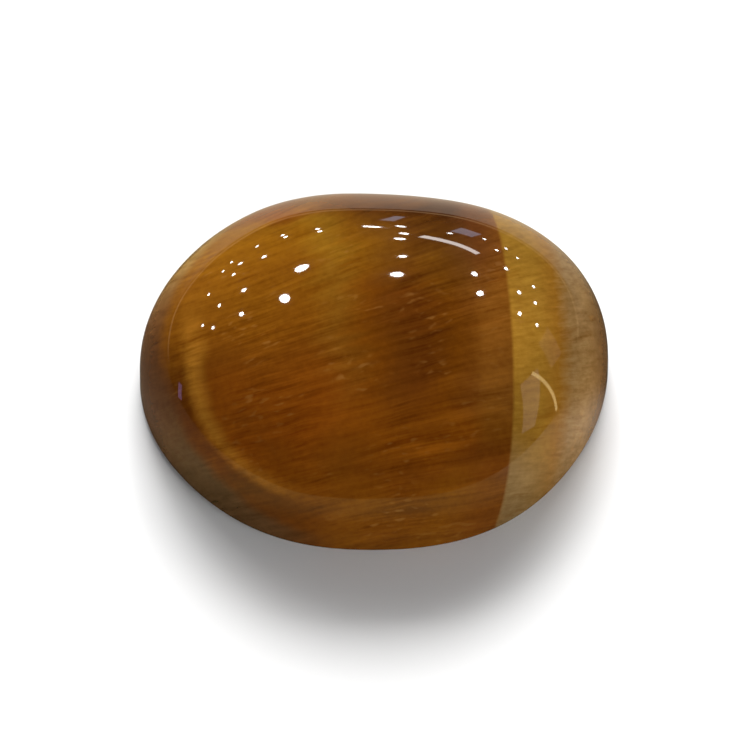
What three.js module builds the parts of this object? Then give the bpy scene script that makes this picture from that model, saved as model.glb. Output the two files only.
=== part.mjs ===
// A polished tiger's eye cabochon: one oval stone with a high dome, a short upright side wall,
// a narrow bevel round its foot and a flat ground back. Millimetres, +Z up. The origin is the
// middle of the flat back, +X runs along the stone's length, and the dome faces +Z.
import * as THREE from "three";

// Driving dimensions, in millimetres unless the name says otherwise.
const LENGTH = 14.0;
const WIDTH = 12.0;
const BEVEL = 0.2;
const WALL_HEIGHT = 0.62;
const DOME_HEIGHT = 3.84;

// The oval is a superellipse, a little fuller than an ellipse (which would be 2).
const OVAL_POWER = 2.08;

// The dome meets the wall steeply and flattens towards its crown, again as a superellipse:
// (radius share) ^ DOME_SIDE_POWER + (height share) ^ DOME_CROWN_POWER = 1.
const DOME_SIDE_POWER = 2.4;
const DOME_CROWN_POWER = 2.2;

// The stone was held to the wheel by hand, so its oval is out of true: it has one fuller corner,
// on the far right. The corner is made of waves round the edge that all crest there together.
// Each row has the number of crests and the wave's height in mm, below zero for a trough.
const CORNER_DEGREES = 30;
const CORNER_WAVES = [
  { crests: 2, height: 0.05 },
  { crests: 3, height: 0.14 },
  { crests: 4, height: 0.06 },
  { crests: 5, height: 0.04 },
  { crests: 6, height: -0.03 },
];

// How finely the stone is faceted.
const STEPS_ROUND = 96;
const STEPS_UP_DOME = 24;

const STONE_COLOUR = 0x7a4a12;
const STONE_ROUGHNESS = 0.12;

// Distance from the axis to the edge of the oval, in the direction given in radians.
function edgeRadius(angle) {
  const along = Math.abs(Math.cos(angle)) / (LENGTH / 2);
  const across = Math.abs(Math.sin(angle)) / (WIDTH / 2);
  const oval = (along ** OVAL_POWER + across ** OVAL_POWER) ** (-1 / OVAL_POWER);
  const fromCorner = angle - THREE.MathUtils.degToRad(CORNER_DEGREES);
  let stretch = 1;
  for (const { crests, height } of CORNER_WAVES) {
    stretch += (height * Math.cos(crests * fromCorner)) / (LENGTH / 2);
  }
  return oval * stretch;
}

// The stone's section from the middle of its back to the crown. Heights are in millimetres and
// distances from the axis are shares of the edge radius.
function sectionPoints() {
  const footShare = 1 - BEVEL / (WIDTH / 2);
  const points = [
    new THREE.Vector2(0, 0),
    new THREE.Vector2(footShare, 0),
    new THREE.Vector2(1, BEVEL),
  ];
  for (let step = 0; step <= STEPS_UP_DOME; step += 1) {
    const turn = (Math.PI / 2) * (1 - step / STEPS_UP_DOME);
    const radiusShare = Math.sin(turn) ** (2 / DOME_SIDE_POWER);
    const heightShare = Math.abs(Math.cos(turn)) ** (2 / DOME_CROWN_POWER);
    points.push(new THREE.Vector2(radiusShare, BEVEL + WALL_HEIGHT + DOME_HEIGHT * heightShare));
  }
  return points;
}

// The section is turned round the axis, and every point is moved out to the oval's edge radius
// in its own direction. The stone is then centred on the origin and brought to its exact length
// and width, which the corner's waves change a little.
function stoneGeometry() {
  const geometry = new THREE.LatheGeometry(sectionPoints(), STEPS_ROUND);
  geometry.rotateX(Math.PI / 2);
  const position = geometry.getAttribute("position");
  for (let i = 0; i < position.count; i += 1) {
    const x = position.getX(i);
    const y = position.getY(i);
    const radius = edgeRadius(Math.atan2(y, x));
    position.setXY(i, x * radius, y * radius);
  }
  geometry.computeBoundingBox();
  const middle = geometry.boundingBox.getCenter(new THREE.Vector3());
  const size = geometry.boundingBox.getSize(new THREE.Vector3());
  geometry.translate(-middle.x, -middle.y, 0);
  geometry.scale(LENGTH / size.x, WIDTH / size.y, 1);
  geometry.computeVertexNormals();
  return geometry;
}

const stone = new THREE.Mesh(
  stoneGeometry(),
  new THREE.MeshStandardMaterial({
    color: STONE_COLOUR,
    roughness: STONE_ROUGHNESS,
    metalness: 0,
  }),
);
stone.name = "tigers_eye_cabochon";

const cabochon = new THREE.Group();
cabochon.add(stone);

export default cabochon;
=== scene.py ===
"""A polished tiger's eye cabochon on a pale floor: one oval stone of banded, fibrous quartz."""
import math

import bpy
import numpy as np
from mathutils import Euler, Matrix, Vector


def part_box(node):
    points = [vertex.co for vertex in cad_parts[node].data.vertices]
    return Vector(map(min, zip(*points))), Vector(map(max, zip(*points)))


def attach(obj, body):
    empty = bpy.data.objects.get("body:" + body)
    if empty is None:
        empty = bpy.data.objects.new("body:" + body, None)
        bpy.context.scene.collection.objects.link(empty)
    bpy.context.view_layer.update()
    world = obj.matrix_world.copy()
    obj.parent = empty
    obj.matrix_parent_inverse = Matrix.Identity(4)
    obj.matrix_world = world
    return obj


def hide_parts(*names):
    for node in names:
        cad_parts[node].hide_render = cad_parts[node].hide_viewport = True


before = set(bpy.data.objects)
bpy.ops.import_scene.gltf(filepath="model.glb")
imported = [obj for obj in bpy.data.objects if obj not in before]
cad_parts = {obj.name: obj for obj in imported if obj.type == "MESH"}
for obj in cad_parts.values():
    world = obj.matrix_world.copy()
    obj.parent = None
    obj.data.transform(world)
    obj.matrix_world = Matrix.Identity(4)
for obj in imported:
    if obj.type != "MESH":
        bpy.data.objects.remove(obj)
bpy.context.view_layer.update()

# The camera looks along +Y through a long lens, 53 degrees above the horizon. It aims at the
# middle of the stone's outline as it sees it, and frames the stone as large as the photograph
# does.
STONE = "tigers_eye_cabochon"
CAMERA_ELEVATION = math.radians(53)
CAMERA_DISTANCE = 0.6
NEAREST_SEEN = 0.01
FARTHEST_SEEN = 20
SENSOR_WIDTH = 36.0
FRAME_SIDE_PX = 744
STONE_LENGTH_PX = 468
STONE_MIDDLE_PX = (374, 371)

stone_low, stone_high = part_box(STONE)
towards_camera = Vector((0, -math.cos(CAMERA_ELEVATION), math.sin(CAMERA_ELEVATION)))
picture_up = Vector((0, math.sin(CAMERA_ELEVATION), math.cos(CAMERA_ELEVATION)))
picture_right = Vector((1, 0, 0))
corners = np.array([v.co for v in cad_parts[STONE].data.vertices])
seen_up = corners @ np.array(picture_up)
metres_per_px = (stone_high.x - stone_low.x) / STONE_LENGTH_PX
left_of_middle = (STONE_MIDDLE_PX[0] - FRAME_SIDE_PX / 2) * metres_per_px
above_middle = (STONE_MIDDLE_PX[1] - FRAME_SIDE_PX / 2) * metres_per_px
aim = (
    picture_up * float((seen_up.min() + seen_up.max()) / 2 + above_middle)
    - picture_right * left_of_middle
)

camera_data = bpy.data.cameras.new("camera")
camera_data.sensor_width = SENSOR_WIDTH
camera_data.lens = SENSOR_WIDTH * CAMERA_DISTANCE / (FRAME_SIDE_PX * metres_per_px)
camera_data.clip_start = NEAREST_SEEN
camera_data.clip_end = FARTHEST_SEEN
camera = bpy.data.objects.new("camera", camera_data)
camera.location = aim + towards_camera * CAMERA_DISTANCE
camera.rotation_euler = towards_camera.to_track_quat("Z", "Y").to_euler()
bpy.context.scene.collection.objects.link(camera)
bpy.context.scene.camera = camera
bpy.context.scene.view_settings.view_transform = "Standard"

# The floor is matt white card, wide enough that no view reaches its edge. The polish mirrors a
# dimmer table than the eye sees: sandy and bright behind the stone and to its right, olive before
# it, and dark in between.
FLOOR_SIDE = 8.0
FLOOR_WHITE = (0.8, 0.8, 0.8, 1)
TABLE_BEFORE = (0.22, 0.20, 0.08)
TABLE_LEFT = (0.13, 0.095, 0.065)
TABLE_DIM = (0.04, 0.030, 0.020)
TABLE_BEHIND = (0.38, 0.34, 0.27)
TABLE_RIGHT = (0.31, 0.30, 0.27)
TABLE_CORNER = (0.38, 0.30, 0.18)

# The table's colour by direction, in degrees turning right from straight behind.
TABLE_BY_DIRECTION = [(-180, TABLE_BEFORE), (-140, TABLE_BEFORE), (-95, TABLE_LEFT),
                      (-50, TABLE_DIM), (-15, TABLE_BEHIND), (25, TABLE_BEHIND),
                      (68, TABLE_DIM), (86, TABLE_DIM), (102, TABLE_RIGHT),
                      (120, TABLE_CORNER), (138, TABLE_BEFORE), (180, TABLE_BEFORE)]


def add_node(tree, kind, inputs=(), **settings):
    """Adds a shader node. An input is another node's output socket or a plain value."""
    made = tree.nodes.new(kind)
    for name, value in settings.items():
        setattr(made, name, value)
    for name, value in dict(inputs).items():
        if isinstance(value, bpy.types.NodeSocket):
            tree.links.new(value, made.inputs[name])
        else:
            made.inputs[name].default_value = value
    return made


def maths(tree, operation, first, second=0.0):
    """The output of one Math node."""
    return add_node(tree, "ShaderNodeMath", {0: first, 1: second}, operation=operation).outputs[0]


def steps(tree, value, low, high, to_low=0.0, to_high=1.0, smooth=True):
    """A Map Range node's result, clamped: it goes from one number to another as the value goes
    from low to high, where low may also be the larger."""
    made = add_node(tree, "ShaderNodeMapRange", {
        "Value": value, "From Min": low, "From Max": high, "To Min": to_low, "To Max": to_high})
    made.interpolation_type = "SMOOTHSTEP" if smooth else "LINEAR"
    return made.outputs["Result"]


def colour_ramp(tree, share, rows, interpolation="LINEAR"):
    """A Color Ramp over rows of a place and a colour. The share goes from 0 at the first row's
    place to 1 at the last row's."""
    made = add_node(tree, "ShaderNodeValToRGB", {"Fac": share})
    made.color_ramp.interpolation = interpolation
    stops = made.color_ramp.elements
    first, last = rows[0][0], rows[-1][0]
    while len(stops) < len(rows):
        stops.new(0.5)
    for stop, (place, colour) in zip(stops, rows):
        stop.position = (place - first) / (last - first)
    for stop, (place, colour) in zip(stops, rows):
        stop.color = (*colour, 1)
    return made.outputs["Color"]


bpy.ops.mesh.primitive_plane_add(size=FLOOR_SIDE)
floor = bpy.context.object
floor.name = "floor"
card = bpy.data.materials.new("white_card")
card.use_nodes = True
tree = card.node_tree
tree.nodes.clear()
ray = add_node(tree, "ShaderNodeLightPath")
spot = add_node(tree, "ShaderNodeNewGeometry").outputs["Position"]
right_and_back = add_node(tree, "ShaderNodeSeparateXYZ", {"Vector": spot}).outputs
bearing = maths(tree, "ARCTAN2", right_and_back["X"], right_and_back["Y"])
round_once = steps(tree, bearing, -math.pi, math.pi, smooth=False)
table_colour = colour_ramp(tree, round_once, TABLE_BY_DIRECTION, "EASE")
white = add_node(tree, "ShaderNodeBsdfDiffuse", {"Color": FLOOR_WHITE})
table = add_node(tree, "ShaderNodeBsdfDiffuse", {"Color": table_colour})
either = add_node(tree, "ShaderNodeMixShader",
                  {0: ray.outputs["Is Glossy Ray"], 1: white.outputs[0], 2: table.outputs[0]})
add_node(tree, "ShaderNodeOutputMaterial", {"Surface": either.outputs[0]})
floor.data.materials.append(card)

# The room: soft grey light from all round, which the camera sees as white and the polish as a
# dark ceiling with a pale line where it meets the far wall. Three broad soft lamps side by side
# behind the stone throw the shadow forwards, and a low one fills the front.
ROOM_LIGHT = (0.09, 0.09, 0.09, 1)
ROOM_WHITE = (1.0, 1.0, 1.0, 1)
ROOM_IN_POLISH = (0.012, 0.011, 0.010, 1)
FAR_LINE = (0.85, 0.58, 0.30, 1)
FAR_LINE_FROM = 0.024
FAR_LINE_TO = 0.052
FAR_LINE_FADES = (0.25, 0.6)

# Each soft lamp has its strength, and its height, its bearing and its width in degrees.
SOFT_LAMPS = {
    "key_left": (1.9, 33, -18, 26),
    "key_middle": (3.1, 31, -2, 26),
    "key_right": (2.1, 30, 15, 26),
    "fill": (4.1, 6, 144, 60),
}


def mixed(tree, factor, first, second, blend="MIX"):
    """The result of one colour Mix node."""
    made = tree.nodes.new("ShaderNodeMix")
    made.data_type = "RGBA"
    made.blend_type = blend
    for index, value in ((0, factor), (6, first), (7, second)):
        if isinstance(value, bpy.types.NodeSocket):
            tree.links.new(value, made.inputs[index])
        elif index == 0:
            made.inputs[index].default_value = value
        else:
            made.inputs[index].default_value = (*value[:3], 1)
    return made.outputs[2]


def direction(bearing, height):
    """The way from the stone to a thing: its bearing in degrees, turning right from straight
    behind, and its height above the horizon in degrees."""
    level = math.cos(math.radians(height))
    return Vector((math.sin(math.radians(bearing)) * level,
                   math.cos(math.radians(bearing)) * level,
                   math.sin(math.radians(height))))


world = bpy.data.worlds.new("room")
bpy.context.scene.world = world
world.use_nodes = True
tree = world.node_tree
tree.nodes.clear()
room_ray = add_node(tree, "ShaderNodeLightPath")
looking = add_node(tree, "ShaderNodeTexCoord").outputs["Generated"]
parts = add_node(tree, "ShaderNodeSeparateXYZ", {"Vector": looking})
line = maths(tree, "MULTIPLY", maths(tree, "GREATER_THAN", parts.outputs["Z"], FAR_LINE_FROM),
             maths(tree, "LESS_THAN", parts.outputs["Z"], FAR_LINE_TO))
line = maths(tree, "MULTIPLY", line, steps(tree, parts.outputs["Y"], *FAR_LINE_FADES))
in_polish = mixed(tree, line, ROOM_IN_POLISH, FAR_LINE)
all_round = add_node(tree, "ShaderNodeBackground", {"Color": ROOM_LIGHT})
backdrop = add_node(tree, "ShaderNodeBackground", {"Color": ROOM_WHITE})
ceiling = add_node(tree, "ShaderNodeBackground", {"Color": in_polish})
seen = add_node(tree, "ShaderNodeMixShader",
                {0: room_ray.outputs["Is Camera Ray"], 1: all_round.outputs[0],
                 2: backdrop.outputs[0]})
mirrored = add_node(tree, "ShaderNodeMixShader",
                    {0: room_ray.outputs["Is Glossy Ray"], 1: seen.outputs[0],
                     2: ceiling.outputs[0]})
add_node(tree, "ShaderNodeOutputWorld", {"Surface": mirrored.outputs[0]})

for name, (strength, height, bearing, softness) in SOFT_LAMPS.items():
    lamp_data = bpy.data.lights.new(name, "SUN")
    lamp_data.energy = strength
    lamp_data.angle = math.radians(softness)
    lamp = bpy.data.objects.new(name, lamp_data)
    lamp.rotation_euler = direction(bearing, height).to_track_quat("Z", "Y").to_euler()
    lamp.visible_glossy = False
    bpy.context.scene.collection.objects.link(lamp)

# Small round ceiling lamps in rows, behind the stone as seen from the camera, a few of them out.
# They show in the polish as rows of bright points. Places, to the right and back, and sizes are
# given as shares of the ceiling's height above the stone.
CEILING = 1.2
LAMP_COLUMNS = 8
LAMP_ROWS = 7
LEFT_COLUMN = -1.52
COLUMN_STEP = 0.40
FIRST_ROW = 0.82
ROW_STEP = 0.355
OUT_OF_LINE = 0.06
LAMP_SEED = 11
LAMP_SIZE = 0.044
LAMP_RADIANCE = 45.0

# The nearest lamps, by column and row, each have their own place and size.
NEAR_LAMPS = {
    (3, 0): (-0.35, 0.79, 0.062),
    (3, 1): (-0.28, 1.13, 0.066),
    (4, 0): (0.05, 0.91, 0.036),
    (4, 1): (0.07, 1.20, 0.032),
    (5, 0): (0.45, 0.84, 0.044),
    (5, 1): (0.43, 1.08, 0.040),
}
LAMPS_OUT = {(0, 0), (0, 2), (0, 4), (1, 2), (1, 5), (2, 2), (2, 4), (3, 2), (3, 3), (3, 6),
             (4, 2), (5, 2), (5, 3), (5, 4), (5, 6), (6, 3), (6, 5), (7, 3), (7, 4)}

lamp_random = np.random.default_rng(LAMP_SEED)
for column in range(LAMP_COLUMNS):
    for row in range(LAMP_ROWS):
        shift = lamp_random.uniform(-OUT_OF_LINE, OUT_OF_LINE, 2)
        if (column, row) in LAMPS_OUT:
            continue
        right = LEFT_COLUMN + column * COLUMN_STEP + shift[0]
        back = FIRST_ROW + row * ROW_STEP + shift[1]
        right, back, size = NEAR_LAMPS.get((column, row), (right, back, LAMP_SIZE))
        lamp_data = bpy.data.lights.new(f"ceiling_lamp_{column}_{row}", "AREA")
        lamp_data.shape = "DISK"
        lamp_data.size = size * CEILING
        lamp_data.energy = LAMP_RADIANCE * math.pi * math.pi * (lamp_data.size / 2) ** 2
        lamp = bpy.data.objects.new(lamp_data.name, lamp_data)
        lamp.location = Vector((right, back, 1)) * CEILING
        lamp.rotation_euler = lamp.location.to_track_quat("Z", "Y").to_euler()
        bpy.context.scene.collection.objects.link(lamp)

# Dimmer things the polish mirrors: a tube among the ceiling lamps, two bluish windows low behind,
# a pale panel, a bright edge and a hazy wall to the right, and a violet spot to the left.
MIRROR_DISTANCE = 1.6
WARM_WHITE = (1.0, 0.97, 0.93)
WINDOW_BLUE = (0.58, 0.74, 1.0)
PANEL_PINK = (1.0, 0.86, 0.90)
EDGE_YELLOW = (1.0, 0.78, 0.36)
SPOT_VIOLET = (0.62, 0.42, 1.0)

# Each has, in degrees as seen from the stone, its bearing, how high up it is, its width, its
# height and its turn, and then its radiance and its colour.
MIRRORED_THINGS = {
    "tube": (12.0, 28.2, 13.0, 2.0, -24, 10.0, WARM_WHITE),
    "window_middle": (2.1, 12.5, 0.85, 5.5, -10, 2.3, WINDOW_BLUE),
    "window_right": (12.4, 16.4, 4.7, 5.6, -12, 2.3, WINDOW_BLUE),
    "side_panel": (92.7, 25.3, 8.5, 30, -43, 0.95, PANEL_PINK),
    "side_edge": (85.2, 18.5, 1.2, 35, -18, 6.5, EDGE_YELLOW),
    "side_wall": (68, 26, 9, 15, -45, 0.42, PANEL_PINK),
    "left_spot": (-83.3, 4.6, 2.8, 8.6, 38, 1.7, SPOT_VIOLET),
}

for name, (bearing, up, wide, high, turn, radiance, colour) in MIRRORED_THINGS.items():
    lamp_data = bpy.data.lights.new(name, "AREA")
    lamp_data.shape = "RECTANGLE"
    lamp_data.size = 2 * MIRROR_DISTANCE * math.tan(math.radians(wide / 2))
    lamp_data.size_y = 2 * MIRROR_DISTANCE * math.tan(math.radians(high / 2))
    lamp_data.energy = radiance * math.pi * math.pi / 4 * lamp_data.size * lamp_data.size_y
    lamp_data.color = colour
    lamp = bpy.data.objects.new(name, lamp_data)
    towards = direction(bearing, up)
    lamp.location = towards * MIRROR_DISTANCE
    facing = towards.to_track_quat("Z", "Y")
    lamp.rotation_euler = (facing @ Euler((0, 0, math.radians(turn))).to_quaternion()).to_euler()
    bpy.context.scene.collection.objects.link(lamp)

# The stone: one piece of tiger's eye quartz, sawn from a seam, ground to an oval with a high
# dome and a short side wall, bevelled round its foot, and polished all over but on its back.
MM = 0.001
BEVEL = 0.2 * MM
WALL_HEIGHT = 0.62 * MM
OVAL_POWER = 2.08
DOME_SIDE_POWER = 2.4
DOME_CROWN_POWER = 2.2
EASING = 0.05 * MM

# The outline's fuller corner is a sum of waves, each with its number of crests round the stone
# and its height.
CORNER = math.radians(30)
CORNER_WAVES = {2: 0.05 * MM, 3: 0.14 * MM, 4: 0.06 * MM, 5: 0.04 * MM, 6: -0.03 * MM}

# What hand grinding leaves: for each wave how far it turns per millimetre to the right and
# towards the back, and where it starts, all in radians. The waves begin at the top of the side
# wall and are full at the fade's height above it.
HAND_WAVES = ((1.9, 0.7, 0.0), (-0.8, 2.3, 1.1), (1.4, -1.7, 2.6), (2.9, 1.2, 0.4))
HAND_HEIGHT = 0.0012 * MM
HAND_FADE = 0.8 * MM

# How finely the stone is drawn.
DOME_POINTS = 4000
SECTION_STEP = 0.01 * MM
POINTS_ROUND = 400
BACK_RINGS = 24
BEVEL_RINGS = 26
DOME_RINGS = 170


def edge_radius(angle):
    """Distance from the axis to the oval's edge: a superellipse, times one plus a few cosine
    waves that all crest at the fuller corner."""
    half_length = (stone_high.x - stone_low.x) / 2
    half_width = (stone_high.y - stone_low.y) / 2
    along = (np.abs(np.cos(angle)) / half_length) ** OVAL_POWER
    across = (np.abs(np.sin(angle)) / half_width) ** OVAL_POWER
    stretch = 1 + sum(height / half_length * np.cos(crests * (angle - CORNER))
                      for crests, height in CORNER_WAVES.items())
    return (along + across) ** (-1 / OVAL_POWER) * stretch


def stone_section():
    """The section from the back's middle to the crown, as distances from the axis and heights on
    the short side of the oval. The dome is (distance share) ** side power plus (height share) **
    crown power = 1. Each point of the foot then moves to the mean of the line within the easing
    on both sides, which rounds the foot's corners as polishing does."""
    half_width = (stone_high.y - stone_low.y) / 2
    dome_height = stone_high.z - BEVEL - WALL_HEIGHT
    turn = np.linspace(np.pi / 2, 0, DOME_POINTS)
    dome_out = half_width * np.sin(turn) ** (2 / DOME_SIDE_POWER)
    dome_up = BEVEL + WALL_HEIGHT + dome_height * np.cos(turn) ** (2 / DOME_CROWN_POWER)
    distance = np.concatenate([[0, half_width - BEVEL, half_width], dome_out])
    height = np.concatenate([[0, 0, BEVEL], dome_up])
    run = np.concatenate([[0], np.cumsum(np.hypot(np.diff(distance), np.diff(height)))])
    even = np.arange(0, run[-1], SECTION_STEP)
    reach = int(EASING / SECTION_STEP)
    mean = np.ones(2 * reach + 1) / (2 * reach + 1)
    eased_distance = np.interp(even, run, distance)
    eased_height = np.interp(even, run, height)
    foot = np.abs(even - (half_width + WALL_HEIGHT / 2)) < 2 * (BEVEL + WALL_HEIGHT)
    smooth_distance = np.convolve(eased_distance, mean, "same")
    smooth_height = np.convolve(eased_height, mean, "same")
    eased_distance = np.where(foot, smooth_distance, eased_distance)
    eased_height = np.where(foot, smooth_height, eased_height)
    foot_start = half_width - BEVEL - 2 * EASING
    foot_end = half_width + WALL_HEIGHT + 2 * EASING
    rings = np.concatenate([
        np.linspace(0, foot_start, BACK_RINGS, endpoint=False),
        np.linspace(foot_start, foot_end, BEVEL_RINGS, endpoint=False),
        np.linspace(foot_end, run[-1], DOME_RINGS),
    ])
    out = np.interp(rings, even, eased_distance) / half_width
    up = np.interp(rings, even, eased_height)
    out[-1] = 0
    up[-1] = stone_high.z
    return out, up


def stone_points():
    """The stone's surface over a grid of section rings and directions round the axis, centred
    and brought to the frame's exact length and width."""
    angle = np.linspace(0, 2 * np.pi, POINTS_ROUND, endpoint=False)
    share, height = stone_section()
    radius = share[:, None] * edge_radius(angle)
    x = radius * np.cos(angle)
    y = radius * np.sin(angle)
    x = np.interp(x, [x.min(), x.max()], [stone_low.x, stone_high.x])
    y = np.interp(y, [y.min(), y.max()], [stone_low.y, stone_high.y])
    z = np.broadcast_to(height[:, None], x.shape)
    return np.stack([x, y, z], axis=-1)


def hand_ground(points):
    """The dome's points moved inwards, towards the middle of its foot, by a sum of long cosine
    waves in x, y and z, a few thousandths of a millimetre deep."""
    middle = np.array([0, 0, BEVEL + WALL_HEIGHT])
    reach = points - middle
    wave = sum(np.cos(reach @ (np.array([wide, deep, wide - deep]) / MM) + start)
               for wide, deep, start in HAND_WAVES)
    on_dome = np.clip((points[..., 2] - BEVEL - WALL_HEIGHT) / HAND_FADE, 0, 1)
    inwards = HAND_HEIGHT * (wave - len(HAND_WAVES)) * on_dome
    return points + reach / np.linalg.norm(reach, axis=-1, keepdims=True) * inwards[..., None]


def ring_mesh(name, points):
    """A closed mesh from rings of points, whose first and last rings are each one point."""
    rings, around = points.shape[:2]
    inner = points[1:-1].reshape(-1, 3)
    vertices = np.concatenate([points[:1, 0], inner, points[-1:, 0]])
    here = np.arange(around)
    after = (here + 1) % around
    start = 1 + np.arange(rings - 3)[:, None] * around
    quads = np.stack([start + here, start + after, start + around + after,
                      start + around + here], axis=-1).reshape(-1, 4)
    last_start = 1 + (rings - 3) * around
    top = len(vertices) - 1
    bottom_fan = np.stack([np.zeros_like(here), 1 + after, 1 + here], axis=-1)
    top_fan = np.stack([last_start + here, last_start + after, np.full_like(here, top)], axis=-1)
    faces = quads.tolist() + bottom_fan.tolist() + top_fan.tolist()
    mesh = bpy.data.meshes.new(name)
    mesh.from_pydata(vertices.tolist(), [], faces)
    mesh.validate()
    mesh.shade_smooth()
    return mesh


stone_mesh = ring_mesh("polished_stone", hand_ground(stone_points()))
stone = bpy.data.objects.new("polished_stone", stone_mesh)
bpy.context.scene.collection.objects.link(stone)

# The stone's colours run right through it. They come from planes and noise in the stone's own
# millimetres: to the right, towards the back and up from the middle of its back.
NOISE_MIDDLE = 0.5

tigers_eye = bpy.data.materials.new("tigers_eye")
tigers_eye.use_nodes = True
tree = tigers_eye.node_tree
tree.nodes.clear()


def vector_maths(tree, operation, first, second=(0, 0, 0), output="Vector"):
    """One output of one Vector Math node. For SCALE, the second input is the factor."""
    second_name = "Scale" if operation == "SCALE" else 1
    made = add_node(tree, "ShaderNodeVectorMath", {0: first, second_name: second},
                    operation=operation)
    return made.outputs[output]


def noise(vector, scale, detail, roughness):
    """A Noise Texture's value, which stays near a half."""
    made = add_node(tree, "ShaderNodeTexNoise", {
        "Vector": vector, "Scale": scale, "Detail": detail, "Roughness": roughness})
    return made.outputs["Fac"]


def swing(value, amount):
    """How far a noise lies from its middle, times the amount."""
    return maths(tree, "MULTIPLY", maths(tree, "SUBTRACT", value, NOISE_MIDDLE), amount)


def band_colours(place, bands):
    """Colours that change with a place in millimetres, from one band to the next."""
    share = steps(tree, place, bands[0][0], bands[-1][0], smooth=False)
    return colour_ramp(tree, share, bands)


def tinted(colour, tint, share=1.0):
    """A colour multiplied by a tint, and mixed with the plain colour by the share."""
    return mixed(tree, share, colour, tint, "MULTIPLY")


in_stone = add_node(tree, "ShaderNodeTexCoord").outputs["Object"]
mm = vector_maths(tree, "SCALE", in_stone, 1 / MM)
mm_parts = add_node(tree, "ShaderNodeSeparateXYZ", {"Vector": mm}).outputs
northing = mm_parts["Y"]
height_mm = mm_parts["Z"]

# The fibres lie in thin sheets. Each zone has the way its sheets face, as the slope in degrees at
# which their edges rise to the right across the dome, seen from 53 degrees above its front. The
# sheets fan out a little from one level in the stone, and a slow ripple bends the fibres.
LEFT_SLOPE = math.radians(16)
RIGHT_SLOPE = math.radians(7)
FAN = 0.022
FAN_LEVEL = 0.8
RIPPLE_CELLS = 0.3
RIPPLE_DETAIL = 2.0
RIPPLE_REACH = (0.0, 0.3, 0.5)

ripple = add_node(tree, "ShaderNodeTexNoise",
                  {"Vector": mm, "Scale": RIPPLE_CELLS, "Detail": RIPPLE_DETAIL})
bend = vector_maths(tree, "SUBTRACT", ripple.outputs["Color"], (NOISE_MIDDLE,) * 3)
bend = vector_maths(tree, "MULTIPLY", bend, RIPPLE_REACH)


def sheet_axes(slope):
    """Along the fibres, across their sheets, and across the fibres within a sheet: the sheets
    face sideways by the slope and lean back as the camera does, and the fibres lie level."""
    facing = picture_up * math.cos(slope) - picture_right * math.sin(slope)
    along = facing.cross(Vector((0, 0, 1))).normalized()
    return along, facing, along.cross(facing)


def fibre_frame(slope):
    """Millimetres along the zone's three sheet axes, with the sheets fanned, steeper at the back
    than in front, and with the fibres' ripple."""
    run, rise, depth = [vector_maths(tree, "DOT_PRODUCT", mm, axis, output="Value")
                        for axis in sheet_axes(slope)]
    narrowing = maths(tree, "SUBTRACT", 1.0, maths(tree, "MULTIPLY", run, FAN))
    fanned = maths(tree, "MULTIPLY", maths(tree, "SUBTRACT", rise, FAN_LEVEL), narrowing)
    joined = add_node(tree, "ShaderNodeCombineXYZ", {"X": run, "Y": fanned, "Z": depth})
    return vector_maths(tree, "ADD", joined.outputs[0], bend)


def stretched(fibres, along, sheets, within, detail, roughness):
    """Noise drawn out along the fibres: cells per millimetre along them, across their sheets and
    within a sheet, then its detail and its roughness."""
    return noise(vector_maths(tree, "MULTIPLY", fibres, (along, sheets, within)), 1.0,
                 detail, roughness)


left_fibres = fibre_frame(LEFT_SLOPE)
right_fibres = fibre_frame(RIGHT_SLOPE)

# The noises, from the finest lines to broad flames, and two that lie alike in every direction.
FINE = (0.55, 13.0, 2.2, 2.0, 0.5)
STREAKS = (0.30, 5.6, 0.9, 3.0, 0.55)
BROAD_STREAKS = (0.20, 2.6, 0.55, 2.0, 0.5)
FLAMES = (0.12, 1.2, 0.3, 3.0, 0.6)
RIGHT_FINE = (0.8, 8.0, 2.0, 3.0, 0.6)
PATCHES = (0.55, 1.5, 0.5)
GRAIN = (5.0, 3.0, 0.6)

fine = stretched(left_fibres, *FINE)
streak = stretched(left_fibres, *STREAKS)
broad = stretched(left_fibres, *BROAD_STREAKS)
flame = stretched(left_fibres, *FLAMES)
right_fine = stretched(right_fibres, *RIGHT_FINE)
patch = noise(mm, *PATCHES)
grain = noise(mm, *GRAIN)

# The bands: each has its place in millimetres along the line that crosses them, and its colour as
# linear red, green and blue. At a sharp edge the brown zone on the left changes to the golden zone
# on the right.
BAND_ACROSS = (1.0, 0.08, -0.22)
EDGE_AT = 3.15
EDGE_WIDTH = 0.15
AMBER = (0.174, 0.054, 0.0028)
GOLD = (0.186, 0.069, 0.0050)
CHESTNUT = (0.124, 0.0350, 0.0030)
RUSSET = (0.136, 0.0410, 0.0034)
TAWNY = (0.212, 0.072, 0.0070)
BRIGHT_GOLD = (0.315, 0.152, 0.0170)
STRAW = (0.255, 0.140, 0.046)
EDGE_BROWN = (0.150, 0.070, 0.020)
DULL_HONEY = (0.285, 0.122, 0.013)
DULL_STRAW = (0.31, 0.180, 0.062)
LEFT_BANDS = [(-7.4, AMBER), (-3.0, AMBER), (-2.1, GOLD), (-1.3, AMBER), (-0.6, RUSSET),
              (0.2, CHESTNUT), (1.2, AMBER), (2.2, TAWNY), (3.2, TAWNY)]
RIGHT_BANDS = [(3.2, BRIGHT_GOLD), (4.1, BRIGHT_GOLD), (4.7, DULL_HONEY), (5.2, STRAW),
               (5.8, STRAW), (6.5, EDGE_BROWN), (7.2, EDGE_BROWN)]

# How far flames, streaks and the right zone's fine lines feather the bands, in millimetres.
FLAME_FEATHER = 2.0
STREAK_FEATHER = 1.2
RIGHT_FEATHER = 0.5

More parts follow.
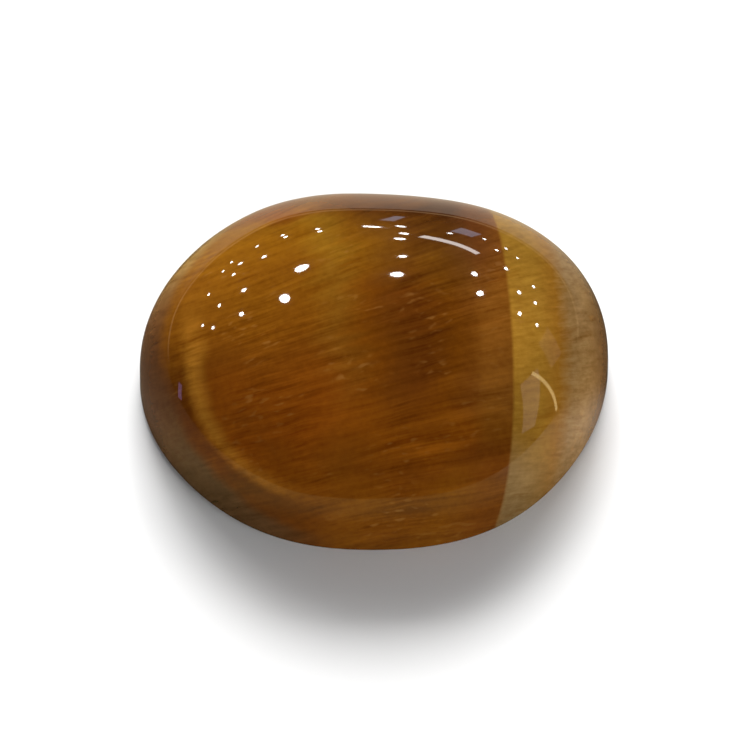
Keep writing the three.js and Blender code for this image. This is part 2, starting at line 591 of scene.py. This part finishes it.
# In front the left bands fade into amber and the right ones into dull straw, and the golden zone
# is brighter towards the back. Each of these begins at its first number and is full at its
# second, in millimetres towards the back.
LEFT_FRONT = (-2.6, -4.0)
LEFT_FRONT_SHARE = 0.8
RIGHT_FRONT = (-3.4, -5.0)
RIGHT_BACK = (0.7, 1.8)
RIGHT_BACK_TINT = (1.18, 1.20, 1.1)

across = vector_maths(tree, "DOT_PRODUCT", mm, BAND_ACROSS, output="Value")
edge = steps(tree, across, EDGE_AT - EDGE_WIDTH / 2, EDGE_AT + EDGE_WIDTH / 2)
feather = maths(tree, "ADD", swing(flame, FLAME_FEATHER), swing(streak, STREAK_FEATHER))
left_colour = band_colours(maths(tree, "ADD", across, feather), LEFT_BANDS)
left_front = maths(tree, "MULTIPLY", steps(tree, northing, *LEFT_FRONT), LEFT_FRONT_SHARE)
left_colour = mixed(tree, left_front, left_colour, AMBER)
right_place = maths(tree, "ADD", across, swing(right_fine, RIGHT_FEATHER))
right_colour = band_colours(right_place, RIGHT_BANDS)
right_colour = mixed(tree, steps(tree, northing, *RIGHT_FRONT), right_colour, DULL_STRAW)
right_colour = tinted(right_colour, RIGHT_BACK_TINT, steps(tree, northing, *RIGHT_BACK))

# Painted light and shade over the brown zone from the front to the back, in its left part and
# its middle, with some of the zone's own colour change: redder and brighter low in front where
# painted fill light falls, darkest across the middle, yellower towards the back, and at the top a
# painted dark band where the polish mirrors the dark ceiling, below a lighter rim. Each row has
# millimetres towards the back and a factor for red, green and blue.
LEFT_PAINTED_SHADING = [(-5.2, (0.92, 0.82, 0.8)), (-4.2, (1.30, 1.04, 0.9)), (-3.2, (1.00, 0.81, 0.8)),
               (-1.8, (0.79, 0.72, 0.8)), (0.3, (0.98, 1.08, 1.0)), (1.2, (1.02, 1.12, 1.0)),
               (2.4, (1.18, 1.42, 1.1)), (3.4, (1.10, 1.38, 1.1)), (4.0, (0.95, 0.89, 1.0)),
               (4.7, (0.80, 0.80, 0.9))]
MIDDLE_PAINTED_SHADING = [(-5.9, (0.95, 0.95, 0.9)), (-5.2, (0.86, 0.76, 0.8)), (-4.4, (1.26, 1.12, 0.9)),
                 (-3.4, (0.85, 0.76, 0.8)), (-1.4, (0.72, 0.66, 0.6)), (0.2, (0.84, 0.78, 0.8)),
                 (1.6, (1.08, 1.30, 1.3)), (2.8, (1.00, 1.20, 1.2)), (4.0, (0.44, 0.40, 0.6)),
                 (5.0, (0.92, 0.95, 1.0))]
UNSHADED = (1.0, 1.0, 1.0)

# The parts they belong to, in millimetres across the bands, and how far the places shift: towards
# the back in front of the sharp edge, and unevenly in patches.
LEFT_PART = (-0.9, -2.8)
LEFT_PART_FEATHER = 1.5
MIDDLE_PART = (2.4, 1.7)
AHEAD = ((0.0, 2.4), (-2.0, -3.6))
AHEAD_SHIFT = 0.6
PATCH_SHIFT = 1.6


def region(across_range, northing_range):
    """One in a part of the stone and nought outside it. The part begins at the first number of
    each range and is full at the second, across the bands and towards the back."""
    return maths(tree, "MULTIPLY", steps(tree, across, *across_range),
                 steps(tree, northing, *northing_range))


ahead = maths(tree, "MULTIPLY", region(*AHEAD), AHEAD_SHIFT)
towards_back = maths(tree, "ADD", maths(tree, "SUBTRACT", northing, ahead),
                     swing(patch, PATCH_SHIFT))
left_place = maths(tree, "ADD", across, swing(flame, LEFT_PART_FEATHER))
# The brown zone's colour is multiplied by the painted light and shade of its part.
painted_shading = mixed(tree, steps(tree, left_place, *LEFT_PART),
               band_colours(towards_back, MIDDLE_PAINTED_SHADING), band_colours(towards_back, LEFT_PAINTED_SHADING))
painted_shading = mixed(tree, steps(tree, across, *MIDDLE_PART), UNSHADED, painted_shading)
left_colour = tinted(left_colour, painted_shading)

# In front the brown is darkest close to the sharp edge.
BY_EDGE = ((1.1, 2.7), (-3.7, -4.6))
BY_EDGE_TINT = (0.78, 0.67, 0.80)
left_colour = tinted(left_colour, BY_EDGE_TINT, region(*BY_EDGE))

# Low on the left the stone has a dark skin, and above that a thin golden line of painted gleam,
# the fibres' silky sheen. Each lies level with a plane of its own, given by the way the plane
# faces, and these are heights above it in millimetres. The gleam's plane bends halfway back, and
# flames and grain make both uneven.
SKIN_UP = (0.22, -0.175, 1.0)
SKIN_EDGE = (1.65, 1.05)
SKIN_ACROSS = (-1.4, -4.0)
GLEAM_UP = (-0.093, -0.339, 1.0)
GLEAM_BENDS_AT = -1.1
GLEAM_BEND = 0.32
GLEAM_AT = 4.31
GLEAM_HALF_WIDTH = 0.30
FLAME_UNEVENNESS = 0.5
GRAIN_UNEVENNESS = 0.12
GLEAM_UNEVENNESS = 0.4

unevenness = maths(tree, "ADD", swing(flame, FLAME_UNEVENNESS), swing(grain, GRAIN_UNEVENNESS))
past_bend = maths(tree, "MAXIMUM", maths(tree, "SUBTRACT", northing, GLEAM_BENDS_AT), 0.0)
gleam_height = maths(tree, "ADD", maths(tree, "MULTIPLY", unevenness, GLEAM_UNEVENNESS),
                    vector_maths(tree, "DOT_PRODUCT", mm, GLEAM_UP, output="Value"))
gleam_height = maths(tree, "ADD", gleam_height, maths(tree, "MULTIPLY", past_bend, GLEAM_BEND))
skin_height = maths(tree, "ADD", unevenness,
                    vector_maths(tree, "DOT_PRODUCT", mm, SKIN_UP, output="Value"))

# Above the gleam the stone's left end has a painted glow in front, and under the gleam it is
# darker.
UNDER_GLEAM = 0.35
LEFT_END = ((-4.2, -5.8), (-1.6, -2.8))
LEFT_END_GLOW_TINT = (1.32, 1.34, 1.2)
LOW_END = ((-1.4, -3.6), (-3.4, -4.6))
LOW_END_TINT = (0.62, 0.58, 0.75)

above = steps(tree, gleam_height, GLEAM_AT - UNDER_GLEAM, GLEAM_AT)
# Painted glow at the left end above the gleam.
painted_glow = mixed(tree, region(*LEFT_END), left_colour, tinted(left_colour, LEFT_END_GLOW_TINT))
dimmed = mixed(tree, region(*LOW_END), left_colour, tinted(left_colour, LOW_END_TINT))
left_colour = mixed(tree, above, dimmed, painted_glow)

# The skin's colour changes from the front to the back; each row has millimetres towards the
# back. Towards the back it turns pale tan, a painted reflection of the table's veil over the rim.
SKIN_AND_VEIL_COLOURS = [(-5.4, (0.085, 0.036, 0.012)), (-4.5, (0.093, 0.042, 0.015)),
                (-3.5, (0.135, 0.064, 0.022)), (-2.7, (0.170, 0.073, 0.021)),
                (-1.8, (0.140, 0.051, 0.013)), (-0.9, (0.105, 0.034, 0.006)),
                (0.0, (0.092, 0.031, 0.006)), (1.1, (0.128, 0.051, 0.012)),
                (1.9, (0.20, 0.10, 0.028)), (3.0, (0.27, 0.15, 0.035))]

skin_and_veil = maths(tree, "MULTIPLY", steps(tree, skin_height, *SKIN_EDGE),
             steps(tree, across, *SKIN_ACROSS))
# Dark skin in front, and the painted reflection of the table's veil towards the back.
left_colour = mixed(tree, skin_and_veil, left_colour, band_colours(northing, SKIN_AND_VEIL_COLOURS))

# The painted gleam fades out to the right and towards the back, is fainter at the very front,
# and is brighter in front than farther back.
GLEAM_GOLD = (0.33, 0.133, 0.0115)
GLEAM_FRONT = (0.43, 0.168, 0.0150)
GLEAM_PART = ((-2.4, -5.0), (1.6, -2.2))
GLEAM_STRENGTH = (-5.0, -3.0, 0.45, 0.9)
GLEAM_FRONT_PART = (-1.6, -2.6)

from_gleam = maths(tree, "ABSOLUTE", maths(tree, "SUBTRACT", gleam_height, GLEAM_AT))
painted_gleam = maths(tree, "MULTIPLY", steps(tree, from_gleam, GLEAM_HALF_WIDTH, 0.0), region(*GLEAM_PART))
painted_gleam = maths(tree, "MULTIPLY", painted_gleam, steps(tree, northing, *GLEAM_STRENGTH))
gleam_colour = mixed(tree, steps(tree, northing, *GLEAM_FRONT_PART), GLEAM_GOLD, GLEAM_FRONT)
# The golden line of painted gleam goes over the brown zone's colour.
left_colour = mixed(tree, painted_gleam, left_colour, gleam_colour)
banded = mixed(tree, edge, left_colour, right_colour)

# Streaks along the fibres, stronger in some places than in others, over a fine grain. In the
# front half there are broader ones as well.
STREAKY_PATCHES = (0.38, 0.62, 0.5, 1.0)
STREAK_SWING = 0.62
FINE_SWING = 0.36
BROAD_SWING = 0.5
GRAIN_SWING = 0.26
FRONT_HALF = ((-3.4, -0.6), (0.8, -1.4))
RIGHT_STREAKY = (4.6, 5.8, 0.45, 0.6)
RIGHT_FINE_SWING = 1.0
RIGHT_GRAIN_SWING = 0.5

# The streaks swing the shade to both sides of its middle, from the dark tint to the light one.
MIDDLE_SHADE = 0.5
SHADE_TINTS = [(0.32, (0.66, 0.58, 0.42)), (0.68, (1.3, 1.38, 1.6))]

streaked = maths(tree, "MULTIPLY", steps(tree, patch, *STREAKY_PATCHES),
                 maths(tree, "ADD", swing(streak, STREAK_SWING), swing(fine, FINE_SWING)))
broadly = maths(tree, "MULTIPLY", region(*FRONT_HALF), swing(broad, BROAD_SWING))
streaked = maths(tree, "ADD", streaked, broadly)
left_shade = maths(tree, "ADD", maths(tree, "ADD", MIDDLE_SHADE, streaked),
                   swing(grain, GRAIN_SWING))
right_streaked = maths(tree, "MULTIPLY", steps(tree, across, *RIGHT_STREAKY), maths(
    tree, "ADD", swing(right_fine, RIGHT_FINE_SWING), swing(grain, RIGHT_GRAIN_SWING)))
right_shade = maths(tree, "ADD", MIDDLE_SHADE, right_streaked)
shade = add_node(tree, "ShaderNodeMix", {0: edge, 2: left_shade, 3: right_shade}).outputs[0]
coloured = tinted(banded, band_colours(shade, SHADE_TINTS))

# Short dark dashes in clusters, and soft tan flecks where a fibre turns up to the light.
DASHES = (0.38, 7.0, 1.2, 1.0, 0.4)
DASH_FROM = (0.42, 0.30)
DASH_CLUSTERS = (0.46, 0.60)
DASH_TINT = (0.88, 0.81, 0.7)
FLECKS = (3.2, 7.0, 4.0, 0.5, 0.4)
FLECK_FROM = (0.58, 0.84)
FLECK_PATCHES = (0.5, 1.0, 0.5)
FLECK_CLUSTERS = (0.48, 0.62)
FLECKS_END = (3.4, 1.8)
FLECK_SHARE = 0.34
PALE_FLECK = (0.33, 0.145, 0.030)

dash = stretched(left_fibres, *DASHES)
dashed = maths(tree, "MULTIPLY", steps(tree, dash, *DASH_FROM),
               steps(tree, patch, *DASH_CLUSTERS))
coloured = mixed(tree, dashed, coloured, tinted(coloured, DASH_TINT))
fleck = stretched(left_fibres, *FLECKS)
fleck_places = maths(tree, "MULTIPLY", steps(tree, noise(mm, *FLECK_PATCHES), *FLECK_CLUSTERS),
                     steps(tree, northing, *FLECKS_END))
flecked = maths(tree, "MULTIPLY", steps(tree, fleck, *FLECK_FROM), fleck_places)
coloured = mixed(tree, maths(tree, "MULTIPLY", flecked, FLECK_SHARE), coloured, PALE_FLECK)

# The golden zone has a painted sheen: brighter where its own fibres catch the light, at one
# distance towards the back, and dimmer away from there.
CATCH_AT = -1.3
CATCH_REACH = (4.0, 0.4)
UNCAUGHT_TINT = (0.66, 0.66, 0.70)
CAUGHT_TINT = (1.32, 1.32, 1.25)

from_catch = maths(tree, "ABSOLUTE", maths(tree, "ADD", northing, -CATCH_AT))
painted_sheen_tint = mixed(tree, steps(tree, from_catch, *CATCH_REACH), UNCAUGHT_TINT, CAUGHT_TINT)
coloured = mixed(tree, edge, coloured, tinted(coloured, painted_sheen_tint))

# The brown zone has a patch of painted shade behind the crown: its middle, and how fast it thins
# out per millimetre, each to the right and towards the back.
SHADE_PATCH_MIDDLE = (2.6, 3.0)
SHADE_PATCH_THINS = (0.70, 0.36)
SHADE_PATCH_REACH = (1.5, 0.15)
SHADE_PATCH_FEATHER = 0.6
SHADE_PATCH_TINT = (0.44, 0.37, 0.75)

shade_patch_shift = [-middle * thins for middle, thins in zip(SHADE_PATCH_MIDDLE, SHADE_PATCH_THINS)]
shade_patch_mapping = add_node(tree, "ShaderNodeMapping", {
    "Vector": mm, "Location": (*shade_patch_shift, 0.0), "Scale": (*SHADE_PATCH_THINS, 0.0)})
from_shade_patch = maths(tree, "ADD", vector_maths(tree, "LENGTH", shade_patch_mapping.outputs[0], output="Value"),
                   swing(flame, SHADE_PATCH_FEATHER))
# The painted shade stays off the golden zone.
shade_patch = maths(tree, "MULTIPLY", steps(tree, from_shade_patch, *SHADE_PATCH_REACH),
              maths(tree, "SUBTRACT", 1.0, edge))
coloured = mixed(tree, shade_patch, coloured, tinted(coloured, SHADE_PATCH_TINT))

# The sawn back is ground flat and left matt, with fine marks of the lap. It ends a few hundredths
# of a millimetre up the bevel.
BACK_END = (0.09, 0.02)
BACK_POLISH = 0.12
LAP_MARKS = (14.0, 0.5, 1.0, 3.0, 0.6)
LAP_MARK_RANGE = (0.35, 0.65)
LAP_TINTS = ((0.9, 1.0, 1.5), (1.25, 1.45, 3.0))

ground = steps(tree, height_mm, *BACK_END)
lap_marks = steps(tree, stretched(mm, *LAP_MARKS), *LAP_MARK_RANGE)
coloured = mixed(tree, ground, coloured, tinted(coloured, mixed(tree, lap_marks, *LAP_TINTS)))
polish = steps(tree, ground, 0.0, 1.0, 1.0, BACK_POLISH)

# The fibres shine across themselves like silk: the shine comes from a normal that is turned
# towards square with the fibres. The turn grows with the normal's lean along them, times the
# quartz's refractive index, and fades back to nought where the normal points along a fibre.
QUARTZ_IOR = 1.544

normal = add_node(tree, "ShaderNodeNewGeometry").outputs["Normal"]
fibre = sheet_axes(LEFT_SLOPE)[0]
lean = vector_maths(tree, "DOT_PRODUCT", normal, fibre, output="Value")
fade = maths(tree, "SUBTRACT", 1.0, maths(tree, "MULTIPLY", lean, lean))
turned = maths(tree, "MULTIPLY", maths(tree, "MULTIPLY", lean, QUARTZ_IOR), fade)
fibre_normal = vector_maths(tree, "NORMALIZE", vector_maths(
    tree, "SUBTRACT", normal, vector_maths(tree, "SCALE", fibre, turned)))
across_fibres = vector_maths(tree, "CROSS_PRODUCT", fibre_normal, fibre)

surface = add_node(tree, "ShaderNodeBsdfPrincipled", {
    "Base Color": coloured,
    "Metallic": 0.25,
    "Roughness": 0.45,
    "IOR": QUARTZ_IOR,
    "Specular IOR Level": 0.0,
    "Anisotropic": 0.85,
    "Normal": fibre_normal,
    "Tangent": across_fibres,
    "Coat Weight": polish,
    "Coat Roughness": 0.03,
    "Coat IOR": QUARTZ_IOR,
})
add_node(tree, "ShaderNodeOutputMaterial", {"Surface": surface.outputs[0]})
stone.data.materials.append(tigers_eye)
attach(stone, "root")
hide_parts(STONE)
